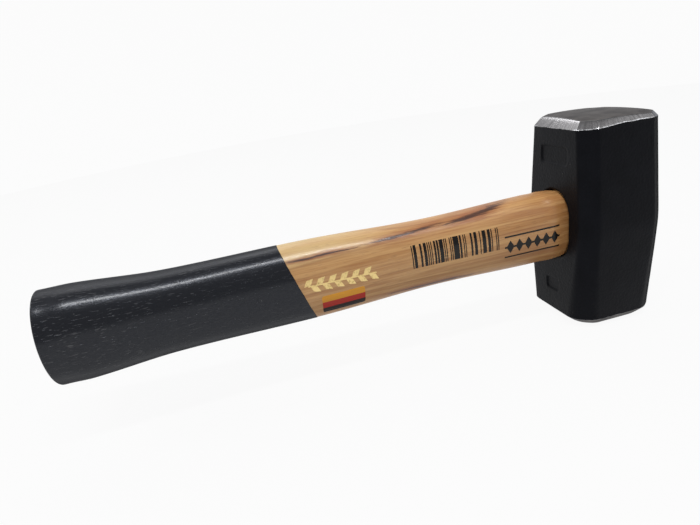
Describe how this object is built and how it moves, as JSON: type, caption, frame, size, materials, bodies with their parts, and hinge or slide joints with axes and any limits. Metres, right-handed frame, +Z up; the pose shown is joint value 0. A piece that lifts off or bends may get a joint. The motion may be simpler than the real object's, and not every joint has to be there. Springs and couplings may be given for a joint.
{
  "type": "drilling hammer",
  "caption": "Short-handled striking hammer with a heavy two-faced head, bevelled square faces and an oval wooden handle with a dipped black grip.",
  "frame": {"origin": "middle of the lower striking face's flat centre", "axes": "+Z up through both striking faces, the handle points along -X, and the cheeks look along +Y and -Y"},
  "size_m": [0.2755, 0.05, 0.1],
  "materials": {
    "head_paint": "semi-matt black paint with bare ground bevels and faces",
    "hickory": "clear lacquered, straight grain with darker streaks",
    "wedge_wood": "raw hardwood, end grain outward",
    "wedge_steel": "plain steel, end face hammered",
    "grip_lacquer": "glossy black dipped lacquer over the grain"
  },
  "bodies": {
    "root": {"head": "head_paint", "handle": "hickory", "wooden_wedge": "wedge_wood", "ring_wedge": "wedge_steel", "grip_coating": "grip_lacquer"}
  },
  "joints": []
}
